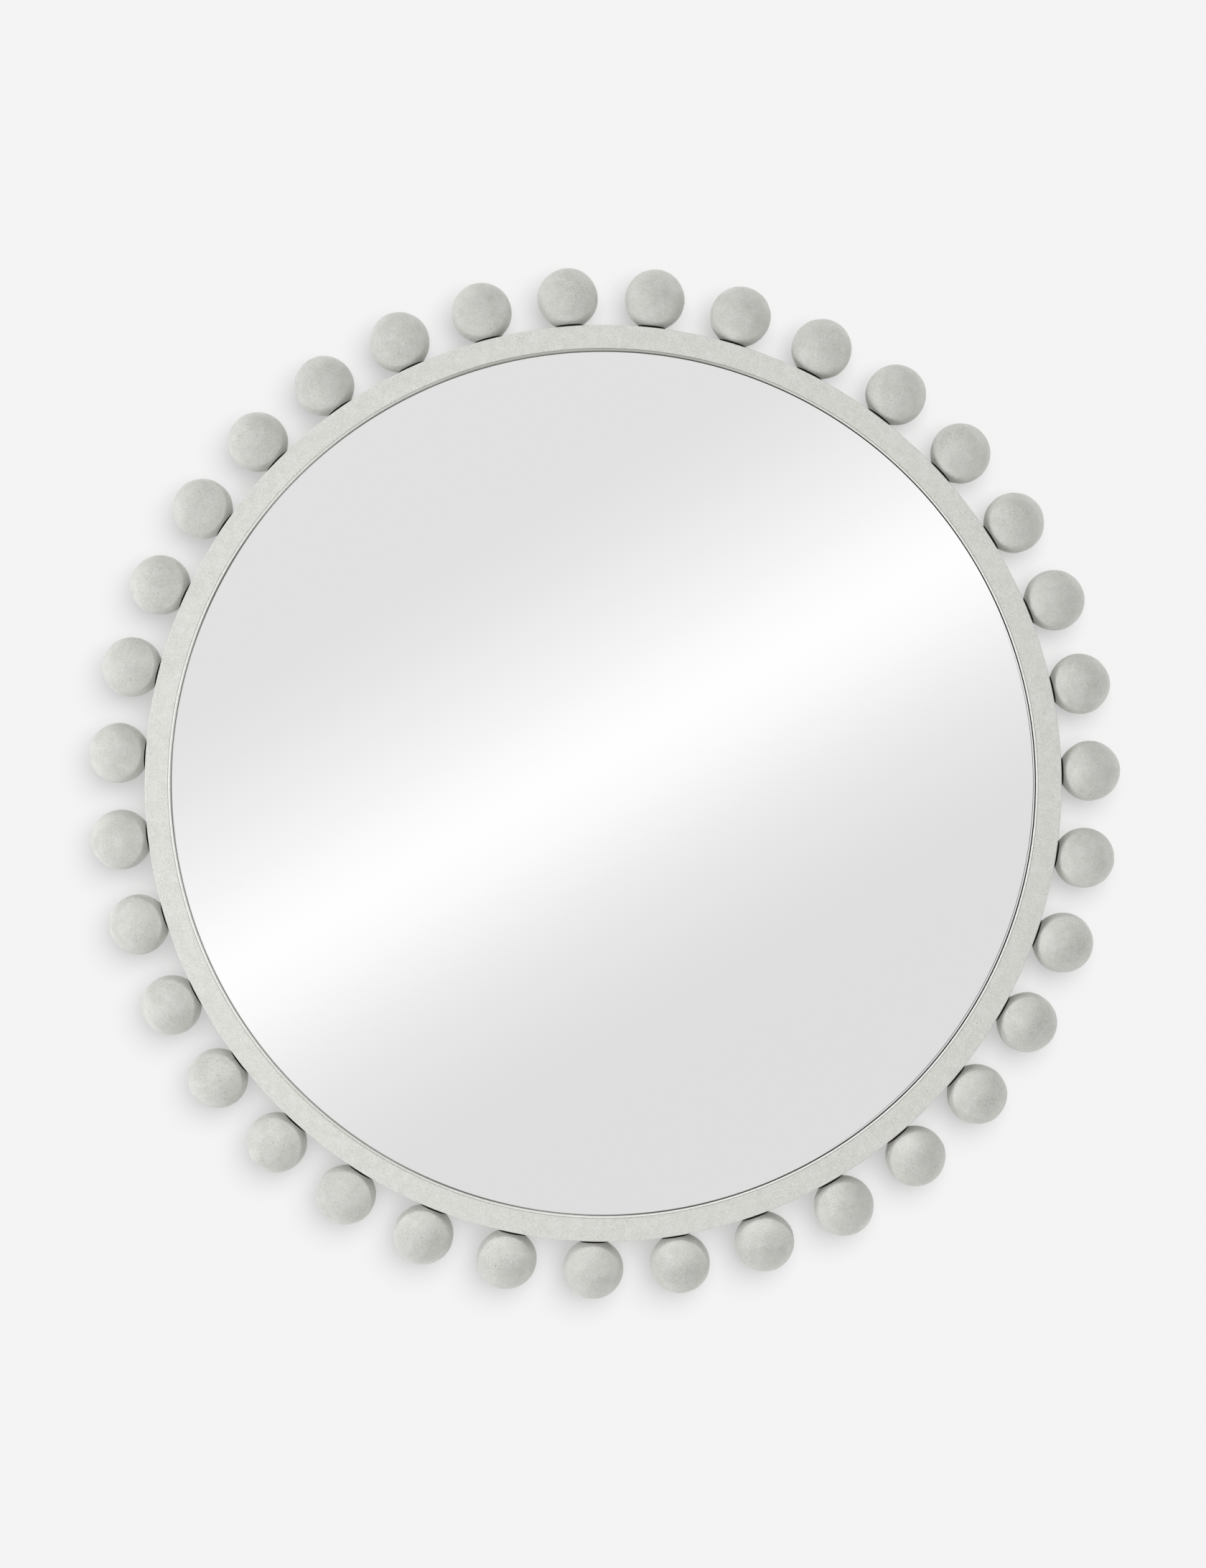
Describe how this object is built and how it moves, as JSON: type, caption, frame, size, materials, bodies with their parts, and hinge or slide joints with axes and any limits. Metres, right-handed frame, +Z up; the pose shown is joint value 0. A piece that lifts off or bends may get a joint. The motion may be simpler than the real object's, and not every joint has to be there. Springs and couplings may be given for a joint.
{
  "type": "round wall mirror",
  "caption": "Round wall mirror in a flat steel ring frame painted warm white, trimmed all round with hollow balls, hung on two keyhole plates.",
  "frame": {"origin": "midway between the two keyholes' round holes, in the plane of the frame's back edge; the mirror's centre is 420 mm below it", "axes": "+Z up, -Y out of the mirror's front towards the room, +Y towards the wall, +X to the viewer's right"},
  "size_m": [1.1167, 0.0705, 1.1165],
  "materials": {
    "painted_steel": "warm off-white paint, satin, finely speckled",
    "mirror_glass": "silvered clear glass",
    "black_foam": "closed-cell foam tape",
    "pale_foam": "thin foam sheet",
    "fibreboard": "raw medium-density fibreboard",
    "zinc_steel": "bright zinc plate",
    "bumper_rubber": "matt black rubber"
  },
  "bodies": {
    "frame": {"face_ring": "painted_steel", "outer_band": "painted_steel", "sight_band": "painted_steel", "ball_welds": "painted_steel", "button_lugs": "painted_steel", "hanger_plate_left": "painted_steel", "hanger_plate_right": "painted_steel", "rest_tab_left": "painted_steel", "rest_tab_right": "painted_steel", "ball_01": "painted_steel", "ball_02": "painted_steel", "ball_03": "painted_steel", "ball_04": "painted_steel", "ball_05": "painted_steel", "ball_06": "painted_steel", "ball_07": "painted_steel", "ball_08": "painted_steel", "ball_09": "painted_steel", "ball_10": "painted_steel", "ball_11": "painted_steel", "ball_12": "painted_steel", "ball_13": "painted_steel", "ball_14": "painted_steel", "ball_15": "painted_steel", "ball_16": "painted_steel", "ball_17": "painted_steel", "ball_18": "painted_steel", "ball_19": "painted_steel", "ball_20": "painted_steel", "ball_21": "painted_steel", "ball_22": "painted_steel", "ball_23": "painted_steel", "ball_24": "painted_steel", "ball_25": "painted_steel", "ball_26": "painted_steel", "ball_27": "painted_steel", "ball_28": "painted_steel", "ball_29": "painted_steel", "ball_30": "painted_steel", "ball_31": "painted_steel", "ball_32": "painted_steel", "ball_33": "painted_steel", "ball_34": "painted_steel", "ball_35": "painted_steel", "button_screws": "zinc_steel", "button_washers": "zinc_steel", "mirror_plate": "mirror_glass", "glazing_tape": "black_foam", "foam_sheet": "pale_foam", "backing_board": "fibreboard", "wall_bumpers": "bumper_rubber"},
    "button_1": {"turn_button_1": "zinc_steel"},
    "button_2": {"turn_button_2": "zinc_steel"},
    "button_3": {"turn_button_3": "zinc_steel"},
    "button_4": {"turn_button_4": "zinc_steel"},
    "button_5": {"turn_button_5": "zinc_steel"},
    "button_6": {"turn_button_6": "zinc_steel"},
    "button_7": {"turn_button_7": "zinc_steel"},
    "button_8": {"turn_button_8": "zinc_steel"}
  },
  "joints": [
    {"name": "button_1_turn", "type": "hinge", "parent": "frame", "child": "button_1", "pos_m": [0.486, -0.0342, -0.42002], "axis": [0, 1, 0], "range_deg": [-90, 90]},
    {"name": "button_2_turn", "type": "hinge", "parent": "frame", "child": "button_2", "pos_m": [0.34365, -0.0342, -0.07636], "axis": [0, 1, 0], "range_deg": [-90, 90]},
    {"name": "button_3_turn", "type": "hinge", "parent": "frame", "child": "button_3", "pos_m": [0, -0.0342, 0.06599], "axis": [0, 1, 0], "range_deg": [-90, 90]},
    {"name": "button_4_turn", "type": "hinge", "parent": "frame", "child": "button_4", "pos_m": [-0.34365, -0.0342, -0.07636], "axis": [0, 1, 0], "range_deg": [-90, 90]},
    {"name": "button_5_turn", "type": "hinge", "parent": "frame", "child": "button_5", "pos_m": [-0.486, -0.0342, -0.42002], "axis": [0, 1, 0], "range_deg": [-90, 90]},
    {"name": "button_6_turn", "type": "hinge", "parent": "frame", "child": "button_6", "pos_m": [-0.34365, -0.0342, -0.76367], "axis": [0, 1, 0], "range_deg": [-90, 90]},
    {"name": "button_7_turn", "type": "hinge", "parent": "frame", "child": "button_7", "pos_m": [0, -0.0342, -0.90602], "axis": [0, 1, 0], "range_deg": [-90, 90]},
    {"name": "button_8_turn", "type": "hinge", "parent": "frame", "child": "button_8", "pos_m": [0.34365, -0.0342, -0.76367], "axis": [0, 1, 0], "range_deg": [-90, 90]}
  ]
}
